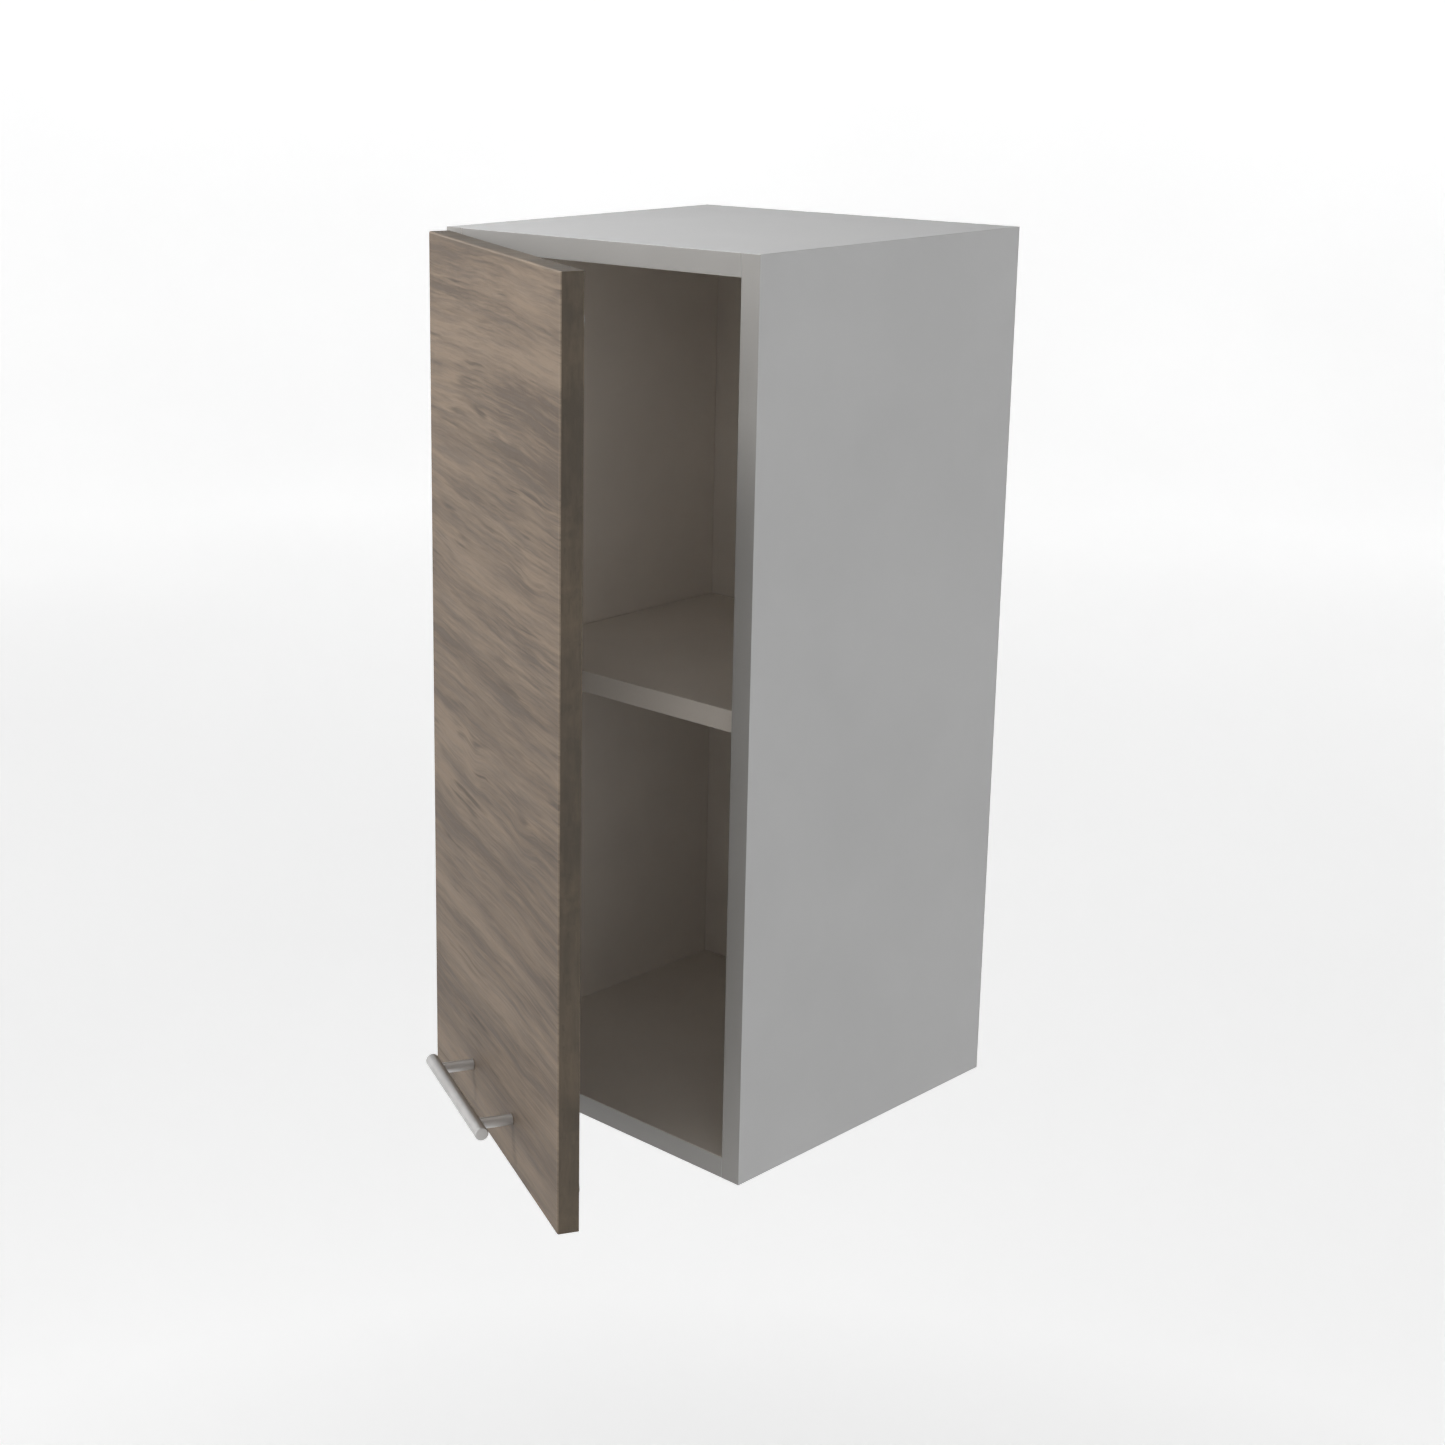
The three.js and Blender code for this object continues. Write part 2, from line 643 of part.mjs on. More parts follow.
function doorPanel() {
  const { width, height, thickness, bevel } = DOOR;
  const halfWidth = width / 2 - bevel;
  const halfHeight = height / 2 - bevel;
  const face = polygon([
    [-halfWidth, -halfHeight],
    [halfWidth, -halfHeight],
    [halfWidth, halfHeight],
    [-halfWidth, halfHeight],
  ]);
  const board = new THREE.ExtrudeGeometry(face, {
    depth: thickness - 2 * bevel,
    bevelThickness: bevel,
    bevelSize: bevel,
    bevelSegments: 2,
  });
  board.translate(0, 0, bevel).rotateX(Math.PI / 2);
  board.translate(DOOR_LEFT + width / 2, DOOR_BACK, 0);

  const tools = [];
  for (const z of HINGE_Z) {
    tools.push(rod('y', [DOOR_BACK - CUP.depth - FIT_GAP, 1], [CUP.x, z], CUP.radius + FIT_GAP, ROUND));
    for (const up of [-1, 1]) {
      const place = [CUP.x + CUP_WING.offset, z + (up * CUP_WING.screwSpacing) / 2];
      tools.push(rod('y', [DOOR_BACK - CUP_SCREW.length, 1], place, CUP_SCREW.radius + FIT_GAP));
    }
  }
  for (const x of POST_X) {
    const radius = HANDLE_SCREW.radius + FIT_GAP;
    tools.push(rod('y', [DOOR_FRONT - 1, DOOR_BACK + 1], [x, HANDLE_Z], radius));
  }
  return piece('door_panel', cut(board, ...tools), greyOak());
}

function handle() {
  const half = HANDLE.barLength / 2;
  const chamfer = 0.7;
  const bar = turned(
    [
      [0, -half],
      [HANDLE.barRadius - chamfer, -half],
      [HANDLE.barRadius, -half + chamfer],
      [HANDLE.barRadius, half - chamfer],
      [HANDLE.barRadius - chamfer, half],
      [0, half],
    ],
    ALONG_X,
    ROUND,
  );
  const parts = [piece('handle_bar', bar, satinNickel(), [CARCASS.width / 2, BAR_Y, HANDLE_Z])];
  POST_X.forEach((x, index) => {
    const place = index === 0 ? 'left' : 'right';
    const foot = DOOR_FRONT - BUTT_GAP;
    const barClearance = HANDLE.barRadius + FIT_GAP;
    const post = cut(
      rod('y', [BAR_Y, foot], [x, HANDLE_Z], HANDLE.postRadius),
      rod('x', [x - 10, x + 10], [BAR_Y, HANDLE_Z], barClearance, ROUND),
      rod('y', [foot - HANDLE_SCREW.grip - 1, foot + 1], [x, HANDLE_Z], HANDLE_SCREW.radius + FIT_GAP),
    );
    parts.push(piece(`handle_post_${place}`, post, satinNickel()));
    const size = { ...HANDLE_SCREW, length: DOOR.thickness + HANDLE_SCREW.grip };
    parts.push(
      piece(`handle_screw_${place}`, screw(size, AGAINST_Y), zincSteel(), [
        x,
        DOOR_BACK + BUTT_GAP,
        HANDLE_Z,
      ]),
    );
  });
  return parts;
}

// Soft stops on the door's back, where it meets the free side of the carcass.
function bumpers() {
  const { radius, height } = BUMPER;
  const dome = turned(
    [[0, 0], [radius, 0], [radius, height * 0.5], [radius * 0.75, height * 0.9], [0, height]],
    ALONG_Y,
  );
  return [['top', 1], ['bottom', -1]].map(([end, up]) =>
    piece(`door_bumper_${end}`, dome, clearRubber(), [
      CARCASS.width - BUMPER.inset,
      DOOR_BACK + BUTT_GAP,
      up * (DOOR.height / 2 - BUMPER.fromEnd),
    ]),
  );
}

// ---- assembly -----------------------------------------------------------------------------

const places = [['upper', HINGE_Z[0]], ['lower', HINGE_Z[1]]];

const carcass = [
  sidePanel('side_panel_left', 0, INSIDE.left),
  sidePanel('side_panel_right', CARCASS.width, INSIDE.right),
  levelPanel('top_panel', 1),
  levelPanel('bottom_panel', -1),
  backPanel(),
  shelf(),
  ...shelfPins(),
  ...dowels(),
  ...hanger('left', INSIDE.left, 1),
  ...hanger('right', INSIDE.right, -1),
  ...places.flatMap(([place, z]) => hingeOnSide(place, z)),
];

// The door's pieces, placed as if it were shut and then carried by its pivot in the cups.
const { arm: armPivot, cup: cupPivot } = INNER_LINK;
const doorOffset = new THREE.Vector3(-cupPivot.x, -cupPivot.y, 0);
const doorPieces = group(
  doorOffset.toArray(),
  0,
  doorPanel(),
  ...handle(),
  ...bumpers(),
  ...places.flatMap(([place, z]) => hingeOnDoor(place, z)),
);
const innerTurn = REST_OPENING * INNER_LINK.turnPerDegree;
const outerTurn = REST_OPENING * OUTER_LINK.turnPerDegree;
const door = group(
  [cupPivot.x - armPivot.x, cupPivot.y - armPivot.y, 0],
  -REST_OPENING - innerTurn,
  doorPieces,
);
const innerLinks = group(
  [armPivot.x, armPivot.y, 0],
  innerTurn,
  ...places.map(([place, z]) => innerLink(`hinge_inner_link_${place}`, z)),
  door,
);
const outerLinks = group(
  [OUTER_LINK.arm.x, OUTER_LINK.arm.y, 0],
  outerTurn,
  ...places.map(([place, z]) => outerLink(`hinge_outer_link_${place}`, z)),
);

const cabinet = group(
  [-CARCASS.width / 2, -CARCASS.depth, 0],
  0,
  ...carcass,
  innerLinks,
  outerLinks,
);
const wallCabinet = new THREE.Group();
wallCabinet.add(cabinet);

export default wallCabinet;
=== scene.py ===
import json
import math

import bmesh
import bpy
from mathutils import Matrix, Vector


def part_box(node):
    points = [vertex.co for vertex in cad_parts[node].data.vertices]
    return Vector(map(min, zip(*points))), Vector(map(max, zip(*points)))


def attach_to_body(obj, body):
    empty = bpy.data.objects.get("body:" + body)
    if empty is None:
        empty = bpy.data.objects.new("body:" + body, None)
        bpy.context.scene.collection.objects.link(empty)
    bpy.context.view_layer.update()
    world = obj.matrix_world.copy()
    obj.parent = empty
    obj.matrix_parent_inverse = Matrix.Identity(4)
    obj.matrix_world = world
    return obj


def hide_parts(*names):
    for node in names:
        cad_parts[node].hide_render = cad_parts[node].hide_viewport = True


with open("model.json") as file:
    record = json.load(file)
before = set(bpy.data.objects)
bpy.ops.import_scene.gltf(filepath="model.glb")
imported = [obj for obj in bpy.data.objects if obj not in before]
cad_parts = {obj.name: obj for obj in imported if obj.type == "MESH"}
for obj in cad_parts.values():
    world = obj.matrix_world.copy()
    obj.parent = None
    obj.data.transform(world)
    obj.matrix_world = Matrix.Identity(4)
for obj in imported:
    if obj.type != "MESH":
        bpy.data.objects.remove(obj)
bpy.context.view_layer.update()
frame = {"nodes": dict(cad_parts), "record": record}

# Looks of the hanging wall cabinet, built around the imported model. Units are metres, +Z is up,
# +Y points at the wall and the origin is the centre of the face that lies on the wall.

MM = 0.001


# ---- camera, light and floor ----------------------------------------------------------------

CARCASS_LOW, CARCASS_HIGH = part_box("side_panel_left")
WIDTH = -2 * CARCASS_LOW.x
DEPTH = CARCASS_HIGH.y - CARCASS_LOW.y
HEIGHT = CARCASS_HIGH.z - CARCASS_LOW.z

VIEW_AZIMUTH = math.radians(47.29)
VIEW_ELEVATION = math.radians(14.42)
VIEW_ROLL = math.radians(-0.32)
VIEW_DISTANCE = 6.691 * WIDTH
VIEW_TARGET = Vector((-0.941 * WIDTH, 0.5 * WIDTH - DEPTH, 1.015 * WIDTH - HEIGHT / 2))
FOCAL_LENGTH_MM = 58.97
SENSOR_MM = 36
FRAME_SHIFT = (0.17, -0.0685)

FLOOR_DROP = 1.40  # from the cabinet's underside to the floor, as it hangs
FLOOR_RADIUS = 9.0  # where the floor begins to curve up
BACKDROP_CURVE = 3.0
BACKDROP_HEIGHT = 9.0
CURVE_STEPS, FLOOR_SEGMENTS = 12, 96
GLOW_START, GLOW_END = 1.6, 2.6  # distances from the cabinet between which the glow grows
GLOW_NEAR, GLOW_FAR = 0.2, 0.49


def add_camera():
    data = bpy.data.cameras.new("camera")
    data.sensor_width = SENSOR_MM
    data.lens = FOCAL_LENGTH_MM
    data.shift_x, data.shift_y = FRAME_SHIFT
    camera = bpy.data.objects.new("camera", data)
    back = Vector((
        math.sin(VIEW_AZIMUTH) * math.cos(VIEW_ELEVATION),
        -math.cos(VIEW_AZIMUTH) * math.cos(VIEW_ELEVATION),
        math.sin(VIEW_ELEVATION),
    ))
    turn = back.to_track_quat("Z", "Y") @ Matrix.Rotation(VIEW_ROLL, 3, "Z").to_quaternion()
    camera.matrix_world = Matrix.LocRotScale(VIEW_TARGET + back * VIEW_DISTANCE, turn, None)
    bpy.context.scene.collection.objects.link(camera)
    bpy.context.scene.camera = camera


AIM = Vector((0, -0.15, 0))  # about the middle of the carcass, which the lights look at


def around(azimuth, elevation, distance):
    """The place at that distance from AIM, with azimuth 0 in front and 90 on the right."""
    turn, rise = math.radians(azimuth), math.radians(elevation)
    level = distance * math.cos(rise)
    return AIM + Vector((level * math.sin(turn), -level * math.cos(turn), distance * math.sin(rise)))


def add_area_light(name, place, diameter, power):
    data = bpy.data.lights.new(name, "AREA")
    data.shape = "DISK"
    data.size = diameter
    data.energy = power
    light = bpy.data.objects.new(name, data)
    light.matrix_world = Matrix.LocRotScale(place, (place - AIM).to_track_quat("Z", "Y"), None)
    bpy.context.scene.collection.objects.link(light)


def add_lights():
    add_area_light("key_light", around(azimuth=-40, elevation=50, distance=1.5), 0.4, 16.8)
    add_area_light("low_fill", around(azimuth=-15, elevation=25, distance=2.6), 1.2, 12)
    add_area_light("right_fill", around(azimuth=30, elevation=45, distance=1.5), 1.2, 2.9)
    world = bpy.data.worlds.new("studio")
    world.use_nodes = True
    world.node_tree.nodes["Background"].inputs["Strength"].default_value = 0
    bpy.context.scene.world = world
    bpy.context.scene.view_settings.view_transform = "Standard"


def add_floor(material):
    """A pale floor that curves up into a backdrop far behind the cabinet, on every side."""
    level = CARCASS_LOW.z - FLOOR_DROP
    mesh = bmesh.new()
    curve = BACKDROP_CURVE
    profile = [(0.0, 0.0), (FLOOR_RADIUS, 0.0)]
    for step in range(1, CURVE_STEPS + 1):
        angle = math.radians(90) * step / CURVE_STEPS
        profile.append((FLOOR_RADIUS + curve * math.sin(angle), curve * (1 - math.cos(angle))))
    profile.append((FLOOR_RADIUS + curve, BACKDROP_HEIGHT))
    previous = [mesh.verts.new((r, 0, level + z)) for r, z in profile]
    edges = [mesh.edges.new(pair) for pair in zip(previous, previous[1:])]
    bmesh.ops.spin(
        mesh, geom=previous + edges, cent=(0, 0, 0), axis=(0, 0, 1),
        angle=math.tau, steps=FLOOR_SEGMENTS, use_duplicate=False,
    )
    bmesh.ops.remove_doubles(mesh, verts=mesh.verts, dist=0.1 * MM)
    data = bpy.data.meshes.new("studio_floor")
    mesh.to_mesh(data)
    mesh.free()
    data.materials.append(material)
    for face in data.polygons:
        face.use_smooth = True
    floor = bpy.data.objects.new("studio_floor", data)
    bpy.context.scene.collection.objects.link(floor)


# ---- where the CAD's pieces are ---------------------------------------------------------------

RECORD = frame["record"]
BODY_OF = {node: body for body, nodes in RECORD["behaviour"]["bodies"].items() for node in nodes}


def door_frame():
    """The door's own frame at rest: origin at the panel's centre, +Y out of its back face."""
    mesh = frame["nodes"]["door_panel"].data
    largest = max(mesh.polygons, key=lambda face: face.area)
    normal = largest.normal.normalized()
    inwards = normal if normal.y > 0 else -normal
    turn = math.atan2(-inwards.x, inwards.y)
    low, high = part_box("door_panel")
    return Matrix.Translation((low + high) / 2) @ Matrix.Rotation(turn, 4, "Z")


DOOR = door_frame()


def box_in(node, local):
    """A node's lowest and highest corners in the frame `local`."""
    back = local.inverted()
    points = [back @ vertex.co for vertex in frame["nodes"][node].data.vertices]
    low = Vector([min(p[axis] for p in points) for axis in range(3)])
    high = Vector([max(p[axis] for p in points) for axis in range(3)])
    return low, high


def home_of(node):
    """The frame in which a node's faces are square: the door's own, or the row's."""
    return DOOR if BODY_OF[node] == "door" else Matrix.Identity(4)


def axis_place(node, direction):
    """A frame whose Z runs along `direction` of the node's home through its middle, and the
    node's extent in that frame."""
    home = home_of(node)
    low, high = box_in(node, home)
    turn = Vector(direction).to_track_quat("Z", "Y").to_matrix().to_4x4()
    place = home @ Matrix.Translation((low + high) / 2) @ turn
    return place, *box_in(node, place)


# ---- material nodes -------------------------------------------------------------------------

class Nodes:
    """Adds shader nodes to one material, each by a short call."""

    def __init__(self, name, local=None):
        self.material = bpy.data.materials.new(name)
        self.material.use_nodes = True
        self.tree = self.material.node_tree
        self.shader = self.tree.nodes["Principled BSDF"]
        self.place = self.add("ShaderNodeTexCoord").outputs["Object"]
        if local is not None:
            turned = self.add("ShaderNodeMapping")
            turned.inputs["Location"].default_value = local.inverted().translation
            turned.inputs["Rotation"].default_value = local.inverted().to_euler()
            self.link(self.place, turned.inputs["Vector"])
            self.place = turned.outputs["Vector"]

    def add(self, kind, **settings):
        node = self.tree.nodes.new(kind)
        for key, value in settings.items():
            setattr(node, key, value)
        return node

    def link(self, source, socket):
        if isinstance(source, (int, float)):
            socket.default_value = source
        elif isinstance(source, tuple):
            is_color = len(source) == 3 and socket.type == "RGBA"
            socket.default_value = (*source, 1) if is_color else source
        else:
            self.tree.links.new(source, socket)

    def stretched(self, scale, place=None):
        """Coordinates in which one unit is 1 / scale metres along each axis."""
        node = self.add("ShaderNodeVectorMath", operation="MULTIPLY")
        self.link(place or self.place, node.inputs[0])
        node.inputs[1].default_value = scale
        return node.outputs[0]

    def noise(self, scale, detail=4, roughness=0.55, distortion=0.0, place=None):
        node = self.add("ShaderNodeTexNoise")
        self.link(self.stretched(scale, place), node.inputs["Vector"])
        node.inputs["Scale"].default_value = 1
        node.inputs["Detail"].default_value = detail
        node.inputs["Roughness"].default_value = roughness
        node.inputs["Distortion"].default_value = distortion
        return node.outputs["Fac"]

    def cells(self, scale, place=None, feature="F1"):
        node = self.add("ShaderNodeTexVoronoi", feature=feature)
        self.link(self.stretched(scale, place), node.inputs["Vector"])
        node.inputs["Scale"].default_value = 1
        return node

    def spread(self, value, low, high, to_low=0.0, to_high=1.0):
        """value from low..high mapped to to_low..to_high and held inside it."""
        node = self.add("ShaderNodeMapRange")
        self.link(value, node.inputs["Value"])
        limits = {"From Min": low, "From Max": high, "To Min": to_low, "To Max": to_high}
        for key, number in limits.items():
            self.link(number, node.inputs[key])
        return node.outputs["Result"]

    def math(self, operation, a, b=0.0):
        node = self.add("ShaderNodeMath", operation=operation)
        self.link(a, node.inputs[0])
        self.link(b, node.inputs[1])
        return node.outputs[0]

    def mix(self, amount, a, b, blend="MIX"):
        node = self.add("ShaderNodeMix", data_type="RGBA", blend_type=blend)
        self.link(amount, node.inputs["Factor"])
        self.link(a, node.inputs[6])
        self.link(b, node.inputs[7])
        return node.outputs[2]

    def ramp(self, value, *stops):
        node = self.add("ShaderNodeValToRGB")
        self.link(value, node.inputs["Fac"])
        elements = node.color_ramp.elements
        while len(elements) < len(stops):
            elements.new(0.5)
        for element, (position, color) in zip(elements, stops):
            element.position = position
            element.color = (*color, 1)
        return node.outputs["Color"]

    def bump(self, height, distance, strength=1.0):
        node = self.add("ShaderNodeBump")
        node.inputs["Strength"].default_value = strength
        node.inputs["Distance"].default_value = distance
        self.link(height, node.inputs["Height"])
        self.link(node.outputs["Normal"], self.shader.inputs["Normal"])

    def done(self, color, roughness, **constants):
        self.link(color, self.shader.inputs["Base Color"])
        self.link(roughness, self.shader.inputs["Roughness"])
        for key, value in constants.items():
            self.shader.inputs[key.replace("_", " ")].default_value = value
        return self.material


def melamine(name, color, shade=0.93):
    """Matt melamine-faced board: a faint mottle, and the fine pearl texture of its press plate."""
    n = Nodes(name)
    mottle = n.noise((9, 9, 9), detail=3)
    speckle = n.noise((1400, 1400, 1400), detail=2)
    dark = tuple(c * shade for c in color)
    base = n.mix(n.spread(mottle, 0.35, 0.65), dark, color)
    base = n.mix(n.spread(speckle, 0.3, 0.7, 0, 0.5), base, dark)
    n.bump(n.noise((850, 850, 850), detail=2, roughness=0.4), 0.03 * MM, 0.35)
    return n.done(base, n.spread(mottle, 0.3, 0.7, 0.42, 0.52))


def oak_decor(name, light, dark, contrast=1.0, upright=False):
    """Grey-brown oak print: fine streaks across the door, or up it, with flecks and small knots.
    More contrast makes the step from the dark to the light streaks harder."""
    n = Nodes(name, DOOR)
    separate = n.add("ShaderNodeSeparateXYZ")
    n.link(n.place, separate.inputs[0])
    along, across = ("Z", "X") if upright else ("X", "Z")
    drift = n.math("MULTIPLY", n.noise((2.2, 2.2, 3), detail=1), 0.035)
    ripple = n.math("MULTIPLY", n.noise((9, 9, 20), detail=3, roughness=0.6), 0.009)
    knots = n.cells((6.5, 1, 7.5))
    closeness = n.spread(knots.outputs["Distance"], 0.0, 0.2, 1, 0)
    raised = n.math("ADD", separate.outputs[across], n.math("ADD", drift, ripple))
    raised = n.math("ADD", raised, n.math("MULTIPLY", closeness, 0.006))
    warped = n.add("ShaderNodeCombineXYZ")
    n.link(separate.outputs[along], warped.inputs["X"])
    n.link(separate.outputs["Y"], warped.inputs["Y"])
    n.link(raised, warped.inputs["Z"])
    grain = warped.outputs[0]

    bands = n.noise((2, 2, 30), detail=3, roughness=0.5, place=grain)
    streaks = n.noise((7, 7, 170), detail=4, roughness=0.65, place=grain)
    fibre = n.noise((24, 200, 620), detail=4, roughness=0.65, place=grain)
    tone = n.math("ADD", n.math("MULTIPLY", bands, 0.4), n.math("MULTIPLY", streaks, 0.4))
    tone = n.math("ADD", tone, n.math("MULTIPLY", fibre, 0.2))
    half = 0.07 / contrast
    middle = tuple((a + b) / 2 for a, b in zip(light, dark))
    base = n.ramp(tone, (0.5 - half, dark), (0.5, middle), (0.5 + half, light))

    flecks = n.noise((10, 10, 170), detail=2, place=grain)
    patches = n.noise((8, 8, 16), detail=1)
    fleck = n.math("MULTIPLY", n.spread(flecks, 0.56, 0.68), n.spread(patches, 0.42, 0.58))
    spot = n.spread(knots.outputs["Distance"], 0.012, 0.04, 0.6, 0)
    deep = tuple(c * 0.55 for c in dark)
    base = n.mix(n.math("MULTIPLY", fleck, 0.75), base, deep)
    base = n.mix(spot, base, deep)
    pores = n.noise((70, 400, 1500), detail=2, place=grain)
    base = n.mix(n.spread(pores, 0.6, 0.75, 0, 0.3), base, deep)
    relief = n.math("SUBTRACT", n.math("MULTIPLY", fibre, 0.4), n.spread(pores, 0.58, 0.74))
    n.bump(relief, 0.06 * MM, 0.5)
    return n.done(base, n.spread(streaks, 0.3, 0.7, 0.5, 0.64))


def metal(name, color, roughness, grain=(900, 900, 900), spread=0.08):
    """Plated or brushed metal: fine grain, slight clouding and a few duller patches."""
    n = Nodes(name)
    fine = n.noise(grain, detail=3, roughness=0.6)
    cloud = n.noise((45, 45, 45), detail=3)
    dull = tuple(c * 0.86 for c in color)
    base = n.mix(n.spread(cloud, 0.35, 0.7, 0, 0.8), color, dull)
    rough = n.math("ADD", n.spread(fine, 0.25, 0.75, roughness - spread, roughness + spread),
                   n.spread(cloud, 0.4, 0.7, 0, 0.06))
    n.bump(fine, 0.012 * MM, 0.5)
    return n.done(base, rough, Metallic=1.0)


def plastic(name, color, roughness, **constants):
    """Moulded plastic with a fine spark-eroded texture."""
    n = Nodes(name)
    fine = n.noise((1600, 1600, 1600), detail=2)
    cloud = n.noise((60, 60, 60), detail=2)
    base = n.mix(n.spread(cloud, 0.3, 0.7, 0, 0.5), color, tuple(c * 0.93 for c in color))
    n.bump(fine, 0.02 * MM, 0.4)
    return n.done(base, n.spread(fine, 0.3, 0.7, roughness - 0.05, roughness + 0.05), **constants)


def chipboard(name):
    """The raw edge of particle board: pale and dark chips with resin between them."""
    n = Nodes(name)
    chips = n.cells((620, 620, 620))
    coarse = n.cells((240, 240, 240))
    tone = n.noise((70, 70, 70), detail=3)
    dark_chip, chip, pale_chip = (0.24, 0.15, 0.08), (0.46, 0.33, 0.2), (0.62, 0.49, 0.33)
    resin, stain = (0.5, 0.37, 0.23), (0.3, 0.2, 0.12)
    base = n.ramp(chips.outputs["Color"], (0.0, dark_chip), (0.5, chip), (1.0, pale_chip))
    base = n.mix(n.spread(coarse.outputs["Distance"], 0.2, 0.8, 0, 0.5), base, resin)
    base = n.mix(n.spread(tone, 0.4, 0.7, 0, 0.4), base, stain)
    n.bump(chips.outputs["Distance"], 0.2 * MM, 0.7)
    return n.done(base, 0.85)


def hardboard(name, color):
    """The fibre back's rear: felted brown fibres."""
    n = Nodes(name)
    felt = n.noise((700, 60, 700), detail=5, roughness=0.7, distortion=1.2)
    cloud = n.noise((14, 14, 14), detail=3)
    base = n.mix(n.spread(felt, 0.35, 0.65), color, tuple(c * 0.72 for c in color))
    base = n.mix(n.spread(cloud, 0.35, 0.7, 0, 0.4), base, tuple(c * 1.15 for c in color))
    n.bump(felt, 0.08 * MM, 0.5)
    return n.done(base, 0.78)


def beech(name):
    """Raw beech with its grain along Z."""
    n = Nodes(name)
    grain = n.noise((900, 900, 60), detail=3)
    flecks = n.noise((1500, 1500, 500), detail=1)
    base = n.mix(n.spread(grain, 0.3, 0.7), (0.52, 0.33, 0.17), (0.68, 0.47, 0.28))
    base = n.mix(n.spread(flecks, 0.62, 0.72, 0, 0.6), base, (0.4, 0.24, 0.12))
    n.bump(grain, 0.05 * MM, 0.5)
    return n.done(base, 0.7)


def studio_white(name):
    """Pale floor and backdrop; the part far from the cabinet glows, so that it stays pale."""
    n = Nodes(name)
    tone = n.noise((0.6, 0.6, 0.6), detail=1)
    base = n.mix(n.spread(tone, 0.3, 0.7), (0.86, 0.86, 0.86), (0.9, 0.9, 0.9))
    distance = n.add("ShaderNodeVectorMath", operation="LENGTH")
    n.link(n.place, distance.inputs[0])
    glow = n.spread(distance.outputs["Value"], GLOW_START, GLOW_END, GLOW_NEAR, GLOW_FAR)
    n.link(glow, n.shader.inputs["Emission Strength"])
    return n.done(base, 0.9, Emission_Color=(1, 1, 1, 1))


GREY = melamine("grey_melamine", (0.43, 0.43, 0.43))
# The inside grey is painted light: the outside's melamine made lighter and warmer, as painted bounce light
# from the oak door.
INSIDE_GREY_PAINTED_LIGHT = melamine("grey_melamine_inside_painted_bounce", (0.73, 0.675, 0.61))
# The front edge band's darker grey is painted shade: the shadow the open door casts on the carcass's front
# edges, put into the colour.
SHADED_EDGE_BAND = melamine("grey_edge_band_painted_shade", (0.275, 0.267, 0.255))
CHIPBOARD = chipboard("raw_chipboard")
HARDBOARD = hardboard("raw_hardboard", (0.36, 0.24, 0.14))
OAK = oak_decor("grey_oak_decor", (0.158, 0.114, 0.076), (0.065, 0.043, 0.026))
# The lighter oak on the door's front rounding is a painted highlight: the light its rounded edge would
# catch, put into the colour.
OAK_PAINTED_HIGHLIGHT = oak_decor("grey_oak_rounding_painted_highlight", (0.2, 0.152, 0.108), (0.12, 0.09, 0.064))
OAK_EDGE = oak_decor("grey_oak_edge_band", (0.098, 0.072, 0.045), (0.048, 0.035, 0.021), 0.9, upright=True)
SATIN_NICKEL = metal("satin_nickel", (0.56, 0.55, 0.54), 0.38, grain=(2600, 2600, 60), spread=0.1)
NICKEL = metal("nickel_plated_steel", (0.66, 0.65, 0.63), 0.24)
ZINC = metal("zinc_plated_steel", (0.56, 0.58, 0.60), 0.38)
BEECH = beech("beech")
WHITE_PLASTIC = plastic("white_plastic", (0.78, 0.78, 0.76), 0.42)
CLEAR_RUBBER = plastic("clear_rubber", (0.8, 0.8, 0.78), 0.3, Transmission_Weight=0.6, IOR=1.45)


# ---- mesh work ------------------------------------------------------------------------------

def attach(obj, node):
    """Gives the object the CAD node's body, in that node's stead."""
    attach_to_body(obj, BODY_OF[node])
    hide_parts(node)
    return obj


def add_object(name, mesh, materials, place=None):
    for material in materials:
        mesh.materials.append(material)
    obj = bpy.data.objects.new(name, mesh)
    bpy.context.scene.collection.objects.link(obj)
    if place is not None:
        obj.matrix_world = place
    return obj


def object_from(shape, name, materials, place=None):
    mesh = bpy.data.meshes.new(name)
    shape.to_mesh(mesh)
    shape.free()
    return add_object(name, mesh, materials, place)


def smooth_by_angle(mesh, degrees=35):
    shape = bmesh.new()
    shape.from_mesh(mesh)
    limit = math.radians(degrees)
    for face in shape.faces:
        face.smooth = True
    for edge in shape.edges:
        edge.smooth = len(edge.link_faces) == 2 and edge.calc_face_angle(0) < limit
    shape.to_mesh(mesh)
    shape.free()


def apply_modifiers(obj):
    bpy.context.view_layer.update()
    evaluated = obj.evaluated_get(bpy.context.evaluated_depsgraph_get())
    made = bpy.data.meshes.new_from_object(evaluated)
    old = obj.data
    obj.modifiers.clear()
    obj.data = made
    bpy.data.meshes.remove(old)


def level_normals(obj, degrees=35):
    """Shades the roundings smooth between faces that shade flat."""
    smooth_by_angle(obj.data, degrees)
    weighted = obj.modifiers.new("level", "WEIGHTED_NORMAL")
    weighted.mode = "FACE_AREA"
    weighted.weight = 100
    weighted.keep_sharp = True
    apply_modifiers(obj)
    return obj


def extent(obj):
    """The lowest and highest corners of the object's vertices in its own frame."""
    points = [vertex.co for vertex in obj.data.vertices]
    low = [min(p[axis] for p in points) for axis in range(3)]
    high = [max(p[axis] for p in points) for axis in range(3)]
    return low, high


def rounded(obj, width, segments=3, degrees=32):
    """Rounds every edge that turns more than `degrees`, inside the object's own box."""
    low, high = extent(obj)
    bevel = obj.modifiers.new("rounding", "BEVEL")
    bevel.width = width
    bevel.segments = segments
    bevel.limit_method = "ANGLE"
    bevel.angle_limit = math.radians(degrees)
    bevel.use_clamp_overlap = True
    apply_modifiers(obj)
    for vertex in obj.data.vertices:
        vertex.co = [min(max(c, a), b) for c, a, b in zip(vertex.co, low, high)]
    return level_normals(obj)


